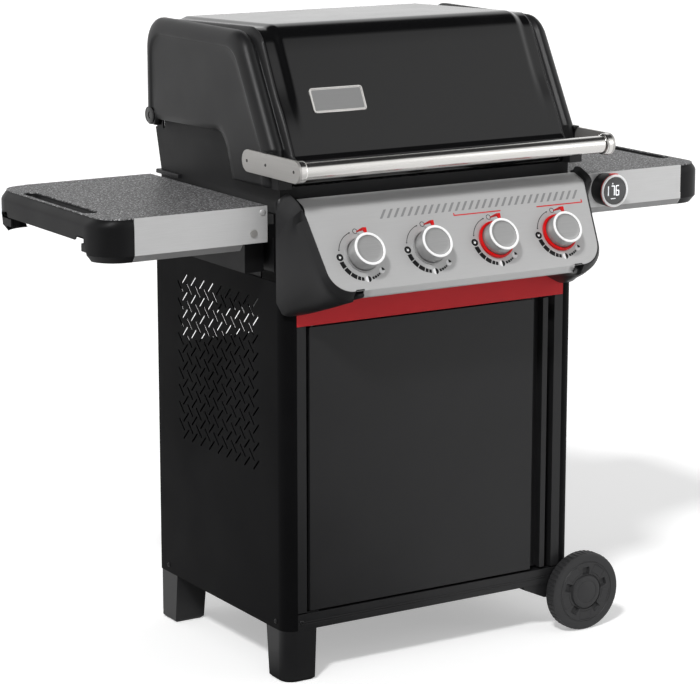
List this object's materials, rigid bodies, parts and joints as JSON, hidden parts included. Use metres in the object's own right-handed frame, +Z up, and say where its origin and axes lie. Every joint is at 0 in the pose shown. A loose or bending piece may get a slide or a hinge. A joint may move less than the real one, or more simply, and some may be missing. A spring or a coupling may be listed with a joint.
{
  "type": "gas barbecue grill",
  "caption": "Gas barbecue grill on an enclosed two-wheel cabinet: hinged lid with tube handle, sloped control panel with knobs, door, and side tables, the left one folding.",
  "frame": {"origin": "centre of the overall footprint on the floor", "axes": "+X to the grill's right seen from the front, -Y to the front, +Z up"},
  "size_m": [1.318, 0.6476, 1.1828],
  "materials": {
    "cabinet_black": "satin black powder coat",
    "band_red": "satin red powder coat",
    "trim_black": "moulded satin black",
    "steel_plain": "plain",
    "inner_steel": "satin",
    "casting_black": "satin coated casting",
    "cast_grate": "enamelled",
    "panel_silver": "fine metallic satin",
    "knob_grey": "satin grey",
    "brass_fitting": "machined",
    "table_speckle": "speckled hammer coat",
    "screen_glass": "gloss lens",
    "lid_enamel": "gloss enamel",
    "bright_steel": "brushed bright",
    "tray_aluminium": "pressed",
    "tyre_black": "satin moulded"
  },
  "bodies": {
    "root": {"left_side_panel": "cabinet_black", "right_side_panel": "cabinet_black", "door_frame": "cabinet_black", "base_frame": "cabinet_black", "bottom_shelf": "cabinet_black", "back_panel": "cabinet_black", "red_band": "band_red", "left_feet": "trim_black", "axle_brackets": "cabinet_black", "axle": "steel_plain", "cabinet_screws": "steel_plain", "door_hinge_brackets": "inner_steel", "door_magnet": "trim_black", "cookbox": "casting_black", "burner_tubes": "steel_plain", "heat_bars": "steel_plain", "cooking_grates": "cast_grate", "warming_rack": "steel_plain", "tray_runners": "inner_steel", "control_panel": "panel_silver", "control_cap_left": "trim_black", "control_cap_right": "trim_black", "knob_bezels": "knob_grey", "gas_valves": "brass_fitting", "gas_manifold": "steel_plain", "lid_hinge_pins": "casting_black", "right_table_deck": "table_speckle", "right_table_fascia": "panel_silver", "right_table_end": "trim_black", "table_brackets": "inner_steel", "table_pivots": "steel_plain", "display_housing": "trim_black", "display_screen": "screen_glass"},
    "lid": {"lid_shell": "lid_enamel", "lid_end_left": "casting_black", "lid_end_right": "casting_black", "badge_plate": "bright_steel", "handle_tube": "bright_steel", "handle_ends": "bright_steel", "handle_rivets": "steel_plain"},
    "door": {"door_panel": "cabinet_black", "door_liner": "cabinet_black", "door_hinge_pins": "steel_plain"},
    "left_table": {"left_table_deck": "table_speckle", "left_table_fascia": "panel_silver", "left_table_end": "trim_black"},
    "grease_drawer": {"grease_tray": "tray_aluminium", "catch_pan": "tray_aluminium"},
    "front_wheel": {"front_wheel": "tyre_black", "front_hub_cap": "tyre_black"},
    "rear_wheel": {"rear_wheel": "tyre_black", "rear_hub_cap": "tyre_black"},
    "stem_1": {"valve_stem_1": "brass_fitting"},
    "knob_1": {"knob_1": "knob_grey"},
    "stem_2": {"valve_stem_2": "brass_fitting"},
    "knob_2": {"knob_2": "knob_grey"},
    "stem_3": {"valve_stem_3": "brass_fitting"},
    "knob_3": {"knob_3": "knob_grey"},
    "stem_4": {"valve_stem_4": "brass_fitting"},
    "knob_4": {"knob_4": "knob_grey"}
  },
  "joints": [
    {"name": "lid_open", "type": "hinge", "parent": "root", "child": "lid", "pos_m": [0, 0.27584, 0.991], "axis": [-1, 0, 0], "range_deg": [0, 80]},
    {"name": "door_open", "type": "hinge", "parent": "root", "child": "door", "pos_m": [-0.256, -0.18116, 0.3951], "axis": [0, 0, -1], "range_deg": [0, 110]},
    {"name": "left_table_fold", "type": "hinge", "parent": "root", "child": "left_table", "pos_m": [-0.3583, 0.06274, 0.831], "axis": [0, -1, 0], "range_deg": [0, 90]},
    {"name": "grease_drawer_slide", "type": "slide", "parent": "root", "child": "grease_drawer", "axis": [0, 1, 0], "range_m": [0, 0.38]},
    {"name": "front_wheel_spin", "type": "hinge", "parent": "root", "child": "front_wheel", "pos_m": [0.3353, -0.20716, 0.0767], "axis": [0, 1, 0], "continuous": true},
    {"name": "rear_wheel_spin", "type": "hinge", "parent": "root", "child": "rear_wheel", "pos_m": [0.3353, 0.30584, 0.0767], "axis": [0, 1, 0], "continuous": true},
    {"name": "knob_1_turn", "type": "hinge", "parent": "root", "child": "stem_1", "pos_m": [-0.212, -0.28186, 0.79761], "axis": [0, -0.8652, 0.5015], "range_deg": [0, 232]},
    {"name": "knob_1_push", "type": "slide", "parent": "stem_1", "child": "knob_1", "axis": [0, 0.8652, -0.5015], "range_m": [0, 0.0035], "stiffness_N_per_m": 900},
    {"name": "knob_2_turn", "type": "hinge", "parent": "root", "child": "stem_2", "pos_m": [-0.0715, -0.28186, 0.79761], "axis": [0, -0.8652, 0.5015], "range_deg": [0, 232]},
    {"name": "knob_2_push", "type": "slide", "parent": "stem_2", "child": "knob_2", "axis": [0, 0.8652, -0.5015], "range_m": [0, 0.0035], "stiffness_N_per_m": 900},
    {"name": "knob_3_turn", "type": "hinge", "parent": "root", "child": "stem_3", "pos_m": [0.0715, -0.28186, 0.79761], "axis": [0, -0.8652, 0.5015], "range_deg": [0, 232]},
    {"name": "knob_3_push", "type": "slide", "parent": "stem_3", "child": "knob_3", "axis": [0, 0.8652, -0.5015], "range_m": [0, 0.0035], "stiffness_N_per_m": 900},
    {"name": "knob_4_turn", "type": "hinge", "parent": "root", "child": "stem_4", "pos_m": [0.212, -0.28186, 0.79761], "axis": [0, -0.8652, 0.5015], "range_deg": [0, 232]},
    {"name": "knob_4_push", "type": "slide", "parent": "stem_4", "child": "knob_4", "axis": [0, 0.8652, -0.5015], "range_m": [0, 0.0035], "stiffness_N_per_m": 900}
  ]
}
